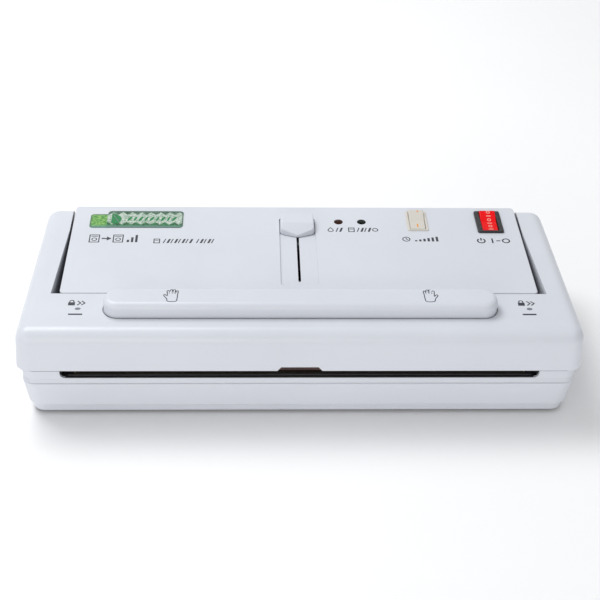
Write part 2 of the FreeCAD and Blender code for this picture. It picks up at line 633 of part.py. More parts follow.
def make_rocker(centre, width, length):
    """Rocker cap on two stub axles, drawn tilted to its first position."""
    x, y = centre
    half_w, reach = width / 2, length / 2
    swing = rod_x(reach, x - half_w, x + half_w, y, ROCKER_PIVOT_Z)
    sides = [(-reach - 1, ROCKER_RISE[1]), (0.0, ROCKER_RISE[0]), (reach + 1, ROCKER_RISE[1]),
             (reach + 1, -1.5), (4.0, -5.0), (-4.0, -5.0), (-reach - 1, -1.5)]
    outline = [(y + dy, ROCKER_PIVOT_Z + dz) for dy, dz in sides]
    cap = swing.common(extrude_x(outline, x - half_w, x + half_w))
    cap = round_edges(cap, 0.5, lambda edge: min(v.Z for v in edge.Vertexes) > ROCKER_PIVOT_Z + 2
                      and max(abs(v.X - x) for v in edge.Vertexes) > half_w - 0.1
                      and abs(edge.Vertexes[0].Y - edge.Vertexes[-1].Y) > 1)
    axle = rod_x(1.5, x - half_w - AXLE_OVERHANG, x + half_w + AXLE_OVERHANG, y, ROCKER_PIVOT_Z)
    rocker = cap.fuse(axle).removeSplitter()
    rocker.rotate(VEC(x, y, ROCKER_PIVOT_Z), VEC(1, 0, 0), ROCKER_REST_DEG)
    return rocker


def make_switch_body(centre, size, rocker_size, floor_z, frame_top):
    x, y = centre
    half_w, half_l = size[0] / 2, size[1] / 2
    frame = plate(x - half_w, x + half_w, y - half_l, y + half_l, DECK_TOP, frame_top, 1.6)
    frame = round_edges(frame, 0.6, at_height(frame_top))
    can_w, can_l = half_w - SWITCH_INSET, half_l - SWITCH_INSET
    can = box(x - can_w, x + can_w, y - can_l, y + can_l, floor_z, DECK_TOP + 0.5)
    gap_w, gap_l = rocker_size[0] / 2 + 0.35, rocker_size[1] / 2 + 0.4
    cavity = box(x - gap_w, x + gap_w, y - gap_l, y + gap_l, ROCKER_PIVOT_Z - 7.5, frame_top + 1)
    bore = rod_x(1.5 + RUNNING_GAP, x - gap_w - AXLE_OVERHANG, x + gap_w + AXLE_OVERHANG, y, ROCKER_PIVOT_Z)
    return join([frame, can]).cut(cavity).cut(bore)


def make_tabs(centre, floor_z, rows):
    x, y = centre
    return [box(x - 2.4, x + 2.4, y + dy - 0.4, y + dy + 0.4, floor_z - 7.0, floor_z) for dy in rows]


def make_led(spot):
    x, y = spot
    rim_z = DECK_TOP + 0.1
    crown_r = (LED_R ** 2 + LED_CROWN ** 2) / (2 * LED_CROWN)
    crown = Part.makeSphere(crown_r, VEC(x, y, rim_z + LED_CROWN - crown_r))
    crown = crown.common(rod_z(LED_R, rim_z - 1, rim_z + 1, x, y))
    lens = rod_z(LED_R, 66.0, rim_z, x, y).fuse(crown)
    flange = rod_z(LED_R + 0.7, 65.0, 66.4, x, y)
    legs = [box(x + dx - 0.3, x + dx + 0.3, y - 0.3, y + 0.3, 59.6, 65.5) for dx in (-1.3, 1.3)]
    return join([lens, flange] + legs)


# ---------------------------------------------------------------- pump, valve and electrics
def make_motor():
    x0, x1 = MOTOR_X
    can = rod_x(MOTOR_R, x0, x1, MOTOR_Y, MOTOR_Z)
    room = rod_x(MOTOR_R - 1.2, x0 + 1.5, x1 - 1.5, MOTOR_Y, MOTOR_Z)
    bearing = rod_x(SHAFT_R + RUNNING_GAP, x0 - 1, x1 + 1, MOTOR_Y, MOTOR_Z)
    can = carve(can, [room, bearing])
    magnet = rod_x(MOTOR_R - 1.2, x0 + 8, x1 - 14, MOTOR_Y, MOTOR_Z)
    magnet = magnet.cut(rod_x(13.0, x0, x1, MOTOR_Y, MOTOR_Z))
    split = box(x0, x1, MOTOR_Y - 4, MOTOR_Y + 4, MOTOR_Z - 30, MOTOR_Z + 30)
    return can, magnet.cut(split)


def make_rotor():
    x0, x1 = MOTOR_X
    shaft = rod_x(SHAFT_R, CAM_X[0] - 2, x1 + 2, MOTOR_Y, MOTOR_Z)
    core = rod_x(12.4, x0 + 8, x1 - 14, MOTOR_Y, MOTOR_Z)
    slots = []
    for i in range(5):
        slot = box(x0, x1, MOTOR_Y - 1.2, MOTOR_Y + 1.2, MOTOR_Z + 5.5, MOTOR_Z + 14)
        slot.rotate(VEC(0, MOTOR_Y, MOTOR_Z), VEC(1, 0, 0), 72 * i)
        slots.append(slot)
    commutator = rod_x(5.0, x1 - 11, x1 - 5, MOTOR_Y, MOTOR_Z)
    return join([shaft, carve(core, slots), commutator])


def make_cam():
    disc = rod_x(CAM_R, CAM_X[0] + 2, CAM_X[1], MOTOR_Y, MOTOR_Z - CAM_OFFSET)
    hub = rod_x(4.0, CAM_X[1] - 1, CAM_X[1] + 4, MOTOR_Y, MOTOR_Z)
    return join([disc, hub]).cut(rod_x(SHAFT_R, CAM_X[0] - 5, CAM_X[1] + 6, MOTOR_Y, MOTOR_Z))


def make_pump():
    y, z = MOTOR_Y, MOTOR_Z
    x0, x1 = MOTOR_X[0] - 24.0, MOTOR_X[0]
    block = box(x0, x1, y - 16, y + 16, 12.0, 51.0)
    room = box(x0 - 1, x1 - 2.5, y - 13.5, y + 13.5, 15.0, 52.0)
    frame = carve(block, [room, rod_x(4.6, x1 - 5, x1 + 1, y, z)])
    ring = rod_x(12.4, CAM_X[0] + 3, CAM_X[1] - 1, y, z)
    stem = box(CAM_X[0] + 3, CAM_X[1] - 1, y - 3, y + 3, z + 11, 50.5)
    rod = ring.fuse(stem).cut(rod_x(10.2, CAM_X[0], CAM_X[1], y, z))
    diaphragm = rod_z(12.5, 51.0, 52.6, PUMP_X, y).cut(rod_z(2.0, 50, 54, PUMP_X, y))
    boss = rod_z(1.9, 50.0, 53.8, PUMP_X, y)
    head = plate(PUMP_X - 15, PUMP_X + 12, y - 16, y + 16, 52.6, 62.2, 3.0)
    chamber = rod_z(11.0, 52.0, 57.0, PUMP_X, y)
    ports = [rod_y(2.0, y - 26, y - 15, px, 58.4) for px in (-86.0, -68.0)]
    passages = [rod_y(1.1, y - 27, y - 6, px, 58.4) for px in (-86.0, -68.0)]
    head = carve(join([head] + ports), [chamber] + passages)
    grommets = [rod_z(4.0, SHELL_FLOOR, 12.0, px, y + dy) for px in (x0 + 5, x1 - 5) for dy in (-11, 11)]
    return frame, rod.fuse(boss.common(rod)), diaphragm, head, grommets


def make_valve():
    x, y = -121.0, 34.0
    block = box(x - 10, x + 10, y - 9, y + 9, SHELL_FLOOR, 33.0)
    window = box(x - 11, x + 11, y - 6.5, y + 6.5, 9.0, 29.5)
    bore = rod_z(3.0 + RUNNING_GAP, 12.0, 34.0, x, y)
    port = rod_y(2.0, y - 20, y - 8, x, 8.4)
    yoke = carve(join([block, port]), [window, bore, rod_y(1.1, y - 21, y - 10, x, 8.4)])
    coil = rod_z(6.3, 9.2, 29.3, x, y).cut(rod_z(3.3, 8, 31, x, y))
    plunger = rod_z(3.0, 15.0, 37.0, x, y).fuse(rod_z(4.6, 36.2, 38.4, x, y)).removeSplitter()
    return yoke, coil, plunger


def make_microswitch():
    body = box(172.8, 179.2, -10.2, 10.2, 26.0, 37.0)
    body = body.cut(rod_z(1.5 + RUNNING_GAP, 31.0, 38.0, 176.0, 0.0))
    plunger = rod_z(1.5, 33.4, 44.3, 176.0, 0.0)
    plunger = plunger.makeFillet(0.6, [e for e in plunger.Edges if at_height(44.3)(e)])
    return body, plunger


def make_transformer():
    x0, x1, y0, y1 = 72.0, 124.0, -2.0, 34.0
    core = box(x0, x1, y0 + 8, y1 - 8, SHELL_FLOOR, 48.0)
    windows = [box(x0 + 9, x0 + 17, y0, y1, 13.0, 40.0), box(x1 - 17, x1 - 9, y0, y1, 13.0, 40.0)]
    coil = plate(x0 + 9.4, x1 - 9.4, y0, y1, 13.4, 39.6, 5.0)
    coil = coil.cut(box(x0 + 17, x1 - 17, y0 + 8, y1 - 8, 12.0, 41.0))
    return carve(core, windows), coil


def make_main_board():
    board = box(-8.0, 60.0, -22.0, 26.0, 11.0, 12.6)
    relay = box(2.0, 20.0, 8.0, 22.0, 12.6, 28.0)
    caps = [rod_z(5.0, 12.6, 32.0, x, -12.0) for x in (6.0, 18.0)]
    terminals = plate(30.0, 56.0, -20.0, -12.0, 12.6, 22.0, 0.8)
    fins = [box(30.0, 54.0, y, y + 1.2, 14.0, 34.0) for y in (4.0, 8.0, 12.0, 16.0)]
    sink = join([box(30.0, 54.0, 4.0, 17.2, 12.6, 15.0)] + fins)
    return board, round_edges(relay, 0.6, at_height(28.0)), caps, terminals, sink


def make_hoses():
    middle = sum(TROUGH_Y) / 2
    to_pump = [(-100, middle, 21), (-100, middle, 10), (-100, -22, 10), (-86, -14, 58.4), (-86, 6, 58.4)]
    to_valve = [(-124, middle, 21), (-124, middle, 10.5), (-124, -20, 10.0), (-121, 0, 8.4), (-121, 23, 8.4)]
    return tube(to_pump, 3.2, 2.05, 5.0), tube(to_valve, 3.2, 2.05, 4.0)


def make_label():
    """Foil label: a tab at its left end reaches less far back than the main part."""
    tab = plate(-153.0, -136.0, 50.9, 68.7, DECK_TOP, DECK_TOP + 0.3, 2.5)
    main = plate(-140.4, -84.4, 51.3, 73.1, DECK_TOP, DECK_TOP + 0.3, 3.0)
    return join([main, tab])


def make_wires():
    runs = [
        [(156, -64, 32), (156, -64, 14), (140, -20, 14), (80, -24, 14), (57, -16, 18)],
        [(-156, -64, 32), (-156, -64, 20), (-140, -34, 20), (20, -30, 20), (34, -21, 18)],
        [(-12, 33, 34), (-4, 33, 34), (-4, 33, 50), (26, 33, 50), (26, 10, 50), (26, 10, 40)],
        [(-120, 65, 20), (143.4, 67.3, 20), (143.4, 67.3, 47)],
        [(143.4, 51.3, 47), (143.4, 51.3, 30), (130, 30, 30), (125.5, 20, 30)],
    ]
    return [tube(run, 0.9, 0.0, 3.0) for run in runs]


# ---------------------------------------------------------------- write the nodes
def write_lid():
    save("lid_shell", make_lid_shell())
    save("grip_bar", make_grip_bar())
    middle = sum(BAR_Y) / 2
    save("lid_liner", make_lid_liner())
    save("recess_cap", *make_recess_cap())
    spots = [(x, middle, DECK_TOP - WALL) for x in BAR_SCREW_X]
    spots += [(x, LINER_SCREW_Y, LINER_Z[0]) for x in (-LINER_SCREW_X, LINER_SCREW_X)]
    save("lid_screws", *[screw(x, y, z, z + LID_SCREW_LENGTH, 2.6, LID_SCREW_R) for x, y, z in spots])
    save("lid_gasket", ring_gasket(41.2, LINER_Z[0]))
    save("press_strip", make_press_strip())
    save("latch_strikers", *make_strikers())


def write_base():
    save("bottom_shell", make_bottom_shell())
    save("upper_housing", make_upper_housing())
    feet = [rod_z(8.0, 0.0, 4.0, sign * x, y) for x, y in FOOT_SPOTS for sign in (1, -1)]
    save("rubber_feet", *[round_edges(foot, 0.7, at_height(0.0)) for foot in feet])
    screws = [screw(x, y, 5.5, 20.0, 3.2, 1.6) for x, y in SCREW_SPOTS]
    save("housing_screws", *screws, *[mirror(item) for item in screws])
    save("seal_bed", *make_seal_bed())
    save("trough_liner", *make_trough())
    save("hose_nozzles", *make_nozzles())
    save("base_gasket", ring_gasket(BED_TOP, 40.8))
    save("seal_bar", make_seal_bar())
    ribbon, tape, clips = make_element()
    save("heating_ribbon", ribbon)
    save("cover_tape", tape)
    save("ribbon_clips", *clips)
    save("cord_gland", make_gland())
    bumper = round_edges(rod_z(3.5, LEDGE_TOP, 46.2, 178.0, -60.0), 0.6, at_height(46.2))
    save("lid_bumpers", *both_sides(bumper))
    brackets, pins = make_hinge()
    save("hinge_brackets", *brackets)
    save("hinge_pins", *pins)


def write_controls():
    save("slider_knob", make_slider_knob())
    save("slider_carriage", make_slider_carriage())
    save("slider_guides", *make_slider_guides())
    save("power_switch_body", make_switch_body(POWER_XY, POWER_SIZE, POWER_ROCKER, 55.0, 77.6))
    save("power_rocker", make_rocker(POWER_XY, *POWER_ROCKER))
    save("time_switch_body", make_switch_body(TIME_XY, TIME_SIZE, TIME_ROCKER, 60.0, 76.8))
    save("time_rocker", make_rocker(TIME_XY, *TIME_ROCKER))
    save("switch_tabs", *make_tabs(POWER_XY, 55.0, (-8.0, 0.0, 8.0)), *make_tabs(TIME_XY, 60.0, (-6.0, 6.0)))
    save("indicator_red", make_led(LED_XY[0]))
    save("indicator_green", make_led(LED_XY[1]))
    save("indicator_board", plate(19.0, 77.0, 49.0, 71.0, 58.0, 59.6, 1.0))
    save("panel_label", make_label())


def write_internals():
    can, magnets = make_motor()
    save("motor_can", can)
    save("motor_magnets", magnets)
    save("motor_rotor", make_rotor())
    save("eccentric_cam", make_cam())
    frame, rod, diaphragm, head, grommets = make_pump()
    save("pump_frame", frame)
    save("connecting_rod", rod)
    save("pump_diaphragm", diaphragm)
    save("pump_head", head)
    save("pump_grommets", *grommets)
    yoke, coil, plunger = make_valve()
    save("air_valve_body", yoke)
    save("air_valve_coil", coil)
    save("air_valve_plunger", plunger)
    body, plunger = make_microswitch()
    save("lid_switch_body", body)
    save("lid_switch_plunger", plunger)
    core, coil = make_transformer()
    save("transformer_core", core)
    save("transformer_coil", coil)
    board, relay, caps, terminals, sink = make_main_board()
    save("main_board", board)
    save("board_relay", relay)
    save("board_capacitors", *caps)
    save("board_terminals", terminals)
    save("board_heat_sink", sink)
    pump_hose, vent_hose = make_hoses()
    save("pump_hose", pump_hose)
    save("vent_hose", vent_hose)
    save("wire_harness", *make_wires())


write_lid()
write_base()
write_controls()
write_internals()
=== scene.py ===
"""Looks of the vacuum packing machine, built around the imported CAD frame. Metres, +Z up, front at -Y."""
import json
import math
import random

import bpy
from mathutils import Matrix, Vector


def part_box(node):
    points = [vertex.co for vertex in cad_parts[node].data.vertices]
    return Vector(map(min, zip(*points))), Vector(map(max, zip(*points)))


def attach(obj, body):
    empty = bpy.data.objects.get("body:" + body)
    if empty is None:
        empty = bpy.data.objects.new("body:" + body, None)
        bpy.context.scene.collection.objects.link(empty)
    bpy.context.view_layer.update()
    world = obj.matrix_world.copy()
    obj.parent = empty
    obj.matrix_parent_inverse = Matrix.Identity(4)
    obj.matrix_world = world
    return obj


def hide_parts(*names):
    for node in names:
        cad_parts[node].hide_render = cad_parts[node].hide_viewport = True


MM = 0.001
random.seed(41)

# ---------------------------------------------------------------- camera
CAMERA_PLACE = (-0.0336, -0.7320, 0.5985)
CAMERA_YAW = math.radians(-2.73)
CAMERA_PITCH = math.radians(37.0)
CAMERA_ROLL = math.radians(1.70)
FOCAL_MM = 76.2
SENSOR_MM = 36.0
FAR_M = 20.0


def make_camera():
    cos_y, sin_y = math.cos(CAMERA_YAW), math.sin(CAMERA_YAW)
    level = math.cos(CAMERA_PITCH)
    ahead = Vector((-sin_y * level, cos_y * level, -math.sin(CAMERA_PITCH)))
    right = Vector((cos_y, sin_y, 0.0))
    up = right.cross(ahead)
    cos_r, sin_r = math.cos(CAMERA_ROLL), math.sin(CAMERA_ROLL)
    turned_right = right * cos_r + up * sin_r
    turned_up = up * cos_r - right * sin_r
    data = bpy.data.cameras.new("camera")
    data.lens = FOCAL_MM
    data.sensor_width = SENSOR_MM
    data.clip_end = FAR_M
    camera = bpy.data.objects.new("camera", data)
    rows = [[turned_right[i], turned_up[i], -ahead[i], CAMERA_PLACE[i]] for i in range(3)]
    camera.matrix_world = Matrix(rows + [[0.0, 0.0, 0.0, 1.0]])
    bpy.context.scene.collection.objects.link(camera)
    bpy.context.scene.camera = camera


make_camera()
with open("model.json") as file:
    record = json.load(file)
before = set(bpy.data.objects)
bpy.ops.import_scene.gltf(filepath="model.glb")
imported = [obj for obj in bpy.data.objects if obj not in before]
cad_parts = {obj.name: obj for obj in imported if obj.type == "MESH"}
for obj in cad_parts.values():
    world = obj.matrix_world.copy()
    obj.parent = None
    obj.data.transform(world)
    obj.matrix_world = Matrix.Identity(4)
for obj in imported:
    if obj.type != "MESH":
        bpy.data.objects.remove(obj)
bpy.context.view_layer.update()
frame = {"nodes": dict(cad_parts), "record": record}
nodes = frame["nodes"]


# ---------------------------------------------------------------- node helpers
BEVEL_SAMPLES = 4
OPEN_SAMPLES = 8
OPEN_RANGE = (0.10, 0.52)      # openness at which the painted groove shade is full, and at which a face has none


class Tree:
    """Short names for the shader nodes used here."""

    def __init__(self, name):
        self.mat = bpy.data.materials.new(name)
        self.mat.use_nodes = True
        self.nodes = self.mat.node_tree.nodes
        self.links = self.mat.node_tree.links
        self.nodes.clear()
        self.out = self.nodes.new("ShaderNodeOutputMaterial")
        self.bsdf = self.nodes.new("ShaderNodeBsdfPrincipled")
        self.links.new(self.bsdf.outputs[0], self.out.inputs[0])
        self.place = self.nodes.new("ShaderNodeTexCoord").outputs["Object"]

    def put(self, socket, value):
        if isinstance(value, bpy.types.NodeSocket):
            self.links.new(value, socket)
        else:
            socket.default_value = value

    def noise(self, scale, detail=3.0, rough=0.5, vector=None):
        node = self.nodes.new("ShaderNodeTexNoise")
        node.inputs["Scale"].default_value = scale
        node.inputs["Detail"].default_value = detail
        node.inputs["Roughness"].default_value = rough
        self.links.new(vector or self.place, node.inputs["Vector"])
        return node.outputs[0]

    def stretch(self, scale):
        node = self.nodes.new("ShaderNodeMapping")
        node.inputs["Scale"].default_value = scale
        self.links.new(self.place, node.inputs["Vector"])
        return node.outputs[0]

    def voronoi(self, scale, feature="F1"):
        node = self.nodes.new("ShaderNodeTexVoronoi")
        node.feature = feature
        node.inputs["Scale"].default_value = scale
        self.links.new(self.place, node.inputs["Vector"])
        return node.outputs["Distance"]

    def wave(self, scale, direction, distortion=0.0):
        node = self.nodes.new("ShaderNodeTexWave")
        node.bands_direction = direction
        node.inputs["Scale"].default_value = scale
        node.inputs["Distortion"].default_value = distortion
        self.links.new(self.place, node.inputs["Vector"])
        return node.outputs["Fac"]

    def ramp(self, value, low, high, first=0.0, last=1.0):
        node = self.nodes.new("ShaderNodeMapRange")
        node.inputs["From Min"].default_value = low
        node.inputs["From Max"].default_value = high
        node.inputs["To Min"].default_value = first
        node.inputs["To Max"].default_value = last
        self.put(node.inputs["Value"], value)
        return node.outputs[0]

    def math(self, kind, a, b):
        node = self.nodes.new("ShaderNodeMath")
        node.operation = kind
        self.put(node.inputs[0], a)
        self.put(node.inputs[1], b)
        return node.outputs[0]

    def mix(self, factor, a, b):
        node = self.nodes.new("ShaderNodeMix")
        node.data_type = "RGBA"
        self.put(node.inputs["Factor"], factor)
        self.put(node.inputs[6], a)
        self.put(node.inputs[7], b)
        return node.outputs[2]

    def axis(self, name):
        node = self.nodes.new("ShaderNodeSeparateXYZ")
        self.links.new(self.place, node.inputs[0])
        return node.outputs[name]

    def bump(self, heights, edge_mm):
        """heights: (socket, depth in mm) pairs; edge_mm rounds sharp edges in the shading."""
        last = self.bevel(edge_mm) if edge_mm else None
        for height, depth in heights:
            node = self.nodes.new("ShaderNodeBump")
            node.inputs["Strength"].default_value = 1.0
            node.inputs["Distance"].default_value = depth * MM
            self.links.new(height, node.inputs["Height"])
            if last is not None:
                self.links.new(last, node.inputs["Normal"])
            last = node.outputs[0]
        self.links.new(last, self.bsdf.inputs["Normal"])

    def bevel(self, radius_mm):
        node = self.nodes.new("ShaderNodeBevel")
        node.samples = BEVEL_SAMPLES
        node.inputs["Radius"].default_value = radius_mm * MM
        return node.outputs[0]

    def openness(self, reach_mm):
        """Mask that is 1 on open faces and falls to 0 deep in a narrow groove; it sets where shade is
        painted.
        """
        node = self.nodes.new("ShaderNodeAmbientOcclusion")
        node.samples = OPEN_SAMPLES
        node.inputs["Distance"].default_value = reach_mm * MM
        return self.ramp(node.outputs["AO"], *OPEN_RANGE)

    def edges(self, radius_mm, gain):
        """Mask that is 1 along edges and 0 on open faces."""
        bent = self.bevel(radius_mm)
        shape = self.nodes.new("ShaderNodeNewGeometry")
        dot = self.nodes.new("ShaderNodeVectorMath")
        dot.operation = "DOT_PRODUCT"
        self.links.new(bent, dot.inputs[0])
        self.links.new(shape.outputs["Normal"], dot.inputs[1])
        return self.ramp(self.math("SUBTRACT", 1.0, dot.outputs["Value"]), 0.0, 1.0 / gain)


def tint(color, factor):
    return tuple(min(1.0, channel * factor) for channel in color[:3]) + (1.0,)


GRAIN_SCALE = 2600.0           # spark grain of moulded plastic, cells per metre
# painted shade: how far a groove's walls reach, and the dark navy painted deep in each narrow groove
GROOVE_SHADE_REACH_MM = 10.0
GROOVE_SHADE_TONE = (0.012, 0.018, 0.040, 1)


def moulded(name, color, rough, grain_mm=0.012, wear=0.25, ior=1.5, groove_shade=0.0):
    """Injection-moulded plastic: fine spark grain, slow colour drift, rubbed edges, and painted shade that
    darkens each narrow groove.
    """
    t = Tree(name)
    speck = t.noise(GRAIN_SCALE, 2.0)
    base = t.mix(t.ramp(t.noise(9.0), 0.3, 0.7), tint(color, 0.965), tint(color, 1.014))
    fine = t.mix(t.ramp(speck, 0.35, 0.65, 0.0, 0.10), base, tint(color, 0.82))
    worn = t.math("MULTIPLY", t.edges(0.6, 2.2), t.ramp(t.noise(160.0, 4.0), 0.42, 0.62))
    final = t.mix(t.math("MULTIPLY", worn, wear), fine, tint(color, 1.18))
    # painted shade: the colour goes dark navy deep in narrow groove bottoms, where little light gets in
    if groove_shade:
        final = t.mix(t.openness(GROOVE_SHADE_REACH_MM), t.mix(groove_shade, final, GROOVE_SHADE_TONE), final)
    t.put(t.bsdf.inputs["Base Color"], final)
    smear = t.ramp(t.noise(34.0, 5.0, 0.6), 0.35, 0.7, rough - 0.05, rough + 0.07)
    t.put(t.bsdf.inputs["Roughness"], t.math("SUBTRACT", smear, t.math("MULTIPLY", worn, 0.08)))
    t.bsdf.inputs["IOR"].default_value = ior
    t.bump([(speck, grain_mm), (t.noise(26.0, 2.0), 0.05)], 0.25)
    return t.mat


def metal(name, color, rough, direction=(1.0, 1.0, 1.0), line_mm=0.006):
    """Drawn or rolled metal with fine lines along the direction whose scale is small."""
    t = Tree(name)
    lines = t.noise(1800.0, 3.0, 0.6, t.stretch(direction))
    cloud = t.noise(60.0, 4.0)
    base = t.mix(t.ramp(cloud, 0.3, 0.7), tint(color, 0.86), tint(color, 1.06))
    edge = t.edges(0.4, 2.0)
    t.put(t.bsdf.inputs["Base Color"], t.mix(t.math("MULTIPLY", edge, 0.5), base, tint(color, 1.25)))
    t.put(t.bsdf.inputs["Roughness"], t.ramp(lines, 0.3, 0.7, rough - 0.07, rough + 0.10))
    t.bsdf.inputs["Metallic"].default_value = 1.0
    t.bump([(lines, line_mm)], 0.15)
    return t.mat


def rubbery(name, color, rough, grain_scale=1500.0, grain_mm=0.03):
    """Matt elastic material with dusty patches and paler edges."""
    t = Tree(name)
    grain = t.noise(grain_scale, 4.0, 0.6)
    dust = t.noise(70.0, 5.0, 0.65)
    base = t.mix(t.ramp(dust, 0.45, 0.75), tint(color, 0.9), tint(color, 1.5))
    edge = t.edges(0.5, 2.0)
    t.put(t.bsdf.inputs["Base Color"], t.mix(t.math("MULTIPLY", edge, 0.35), base, tint(color, 1.9)))
    t.put(t.bsdf.inputs["Roughness"], t.ramp(grain, 0.3, 0.7, rough - 0.08, rough + 0.08))
    t.bump([(grain, grain_mm)], 0.2)
    return t.mat


def foam_material(name, color):
    """Closed-cell foam: small and large cells."""
    t = Tree(name)
    cells = t.voronoi(1400.0)
    coarse = t.voronoi(520.0)
    t.put(t.bsdf.inputs["Base Color"], t.mix(t.ramp(cells, 0.0, 0.6), tint(color, 0.55), tint(color, 1.5)))
    t.put(t.bsdf.inputs["Roughness"], t.ramp(coarse, 0.0, 0.7, 0.82, 0.97))
    t.bump([(cells, 0.22), (coarse, 0.10)], 0.0)
    return t.mat


def cloth_material(name, color):
    """Coated glass cloth: plain weave under a smooth skin."""
    t = Tree(name)
    over = t.wave(900.0, "X")
    under = t.wave(900.0, "Y")
    weave = t.math("MULTIPLY", over, under)
    t.put(t.bsdf.inputs["Base Color"], t.mix(t.ramp(weave, 0.1, 0.9), tint(color, 0.7), tint(color, 1.5)))
    t.put(t.bsdf.inputs["Roughness"], t.ramp(t.noise(90.0, 4.0), 0.3, 0.7, 0.36, 0.52))
    t.bump([(weave, 0.05)], 0.0)
    return t.mat


def lens_material(name, color):
    """Unlit lamp lens, dark and slightly uneven."""
    t = Tree(name)
    swirl = t.noise(300.0, 3.0)
    t.put(t.bsdf.inputs["Base Color"], t.mix(t.ramp(swirl, 0.35, 0.65), tint(color, 0.55), tint(color, 1.5)))
    t.put(t.bsdf.inputs["Roughness"], t.ramp(t.noise(400.0, 3.0), 0.3, 0.7, 0.22, 0.34))
    t.bsdf.inputs["IOR"].default_value = 1.22
    t.bump([(swirl, 0.03)], 0.2)
    return t.mat


def board_material(name):
    """Green circuit board with tracks under the lacquer."""
    t = Tree(name)
    tracks = t.voronoi(260.0, "DISTANCE_TO_EDGE")
    line = t.ramp(tracks, 0.02, 0.05)
    t.put(t.bsdf.inputs["Base Color"], t.mix(line, (0.03, 0.16, 0.05, 1), (0.05, 0.30, 0.10, 1)))
    t.put(t.bsdf.inputs["Roughness"], t.ramp(t.noise(200.0, 3.0), 0.3, 0.7, 0.25, 0.4))
    t.bump([(line, 0.02)], 0.1)
    return t.mat


def winding_material(name):
    """Layers of enamelled copper wire."""
    t = Tree(name)
    turns = t.wave(700.0, "Z", 0.6)
    t.put(t.bsdf.inputs["Base Color"], t.mix(turns, (0.20, 0.06, 0.02, 1), (0.62, 0.26, 0.10, 1)))
    t.put(t.bsdf.inputs["Roughness"], t.ramp(turns, 0.0, 1.0, 0.5, 0.28))
    t.bump([(turns, 0.12)], 0.1)
    return t.mat


def print_material(name, color, rough=0.5):
    """Thin pad-printed ink with small gaps in the film."""
    t = Tree(name)
    worn = t.ramp(t.noise(1300.0, 4.0, 0.7), 0.35, 0.65)
    t.put(t.bsdf.inputs["Base Color"], t.mix(worn, tint(color, 0.8), tint(color, 1.3)))
    t.put(t.bsdf.inputs["Roughness"], t.ramp(worn, 0.0, 1.0, rough - 0.06, rough + 0.1))
    t.bump([(worn, 0.01)], 0.0)
    return t.mat


LABEL_PITCH = 7.0              # mm between the points on the label
LABEL_TAB = 12.6               # mm that the label's tab sticks out at the left
LABEL_STEP = 4.4               # mm that the tab is lower than the main part
FOIL_TONES = ((0.15, 0.27, 0.18, 1), (0.60, 0.66, 0.60, 1))
CREST_TONES = ((0.01, 0.07, 0.035, 1), (0.10, 0.19, 0.13, 1))
LEAFY_TONES = ((0.005, 0.07, 0.02, 1), (0.03, 0.20, 0.06, 1))
TAB_TONES = ((0.05, 0.24, 0.04, 1), (0.24, 0.46, 0.12, 1))
# painted shadow along the label's lower edge: on the foil, then on the tab
LOWER_SHADOW_TONE = (0.10, 0.22, 0.18, 1)
SHADE_TONE = (0.12, 0.28, 0.22, 1)


def label_material(name, low, high):
    """Foil label: mottled green tab at the left, then silver foil with points along both long edges, and a
    painted shadow along the lower edge.
    """
    t = Tree(name)
    x_mm = t.math("MULTIPLY", t.axis("X"), 1000.0)
    height = t.ramp(t.axis("Y"), low.y, high.y)
    points = t.math("PINGPONG", t.math("MULTIPLY", x_mm, 2.0 / LABEL_PITCH), 1.0)
    foil = t.mix(t.ramp(t.noise(700.0, 4.0, 0.7), 0.38, 0.62), *FOIL_TONES)
    upper = t.ramp(t.math("SUBTRACT", height, t.math("MULTIPLY", points, 0.16)), 0.74, 0.79)
    lower = t.ramp(t.math("ADD", height, t.math("MULTIPLY", points, 0.15)), 0.36, 0.31)
    crest = t.mix(t.ramp(t.noise(900.0, 2.0), 0.4, 0.6), *CREST_TONES)
    leafy = t.mix(t.ramp(t.noise(500.0, 3.0), 0.4, 0.6), *LEAFY_TONES)
    net = t.mix(lower, t.mix(upper, foil, crest), leafy)
    # painted shadow: the lowest part of the foil and of the tab darkens to a teal grey
    shadowed_foil = t.mix(t.ramp(height, 0.09, 0.16), LOWER_SHADOW_TONE, net)
    tab = t.mix(t.ramp(t.noise(420.0, 4.0), 0.4, 0.6), *TAB_TONES)
    shade = t.mix(t.ramp(height, 0.06, 0.16), SHADE_TONE, tab)
    tab_end = low.x * 1000.0 + LABEL_TAB
    t.put(t.bsdf.inputs["Base Color"], t.mix(t.ramp(x_mm, tab_end - 0.3, tab_end), shade, shadowed_foil))
    t.put(t.bsdf.inputs["Roughness"], t.ramp(t.noise(300.0, 3.0), 0.3, 0.7, 0.24, 0.38))
    t.bump([(upper, 0.02), (t.noise(900.0, 2.0), 0.006)], 0.1)
    return t.mat


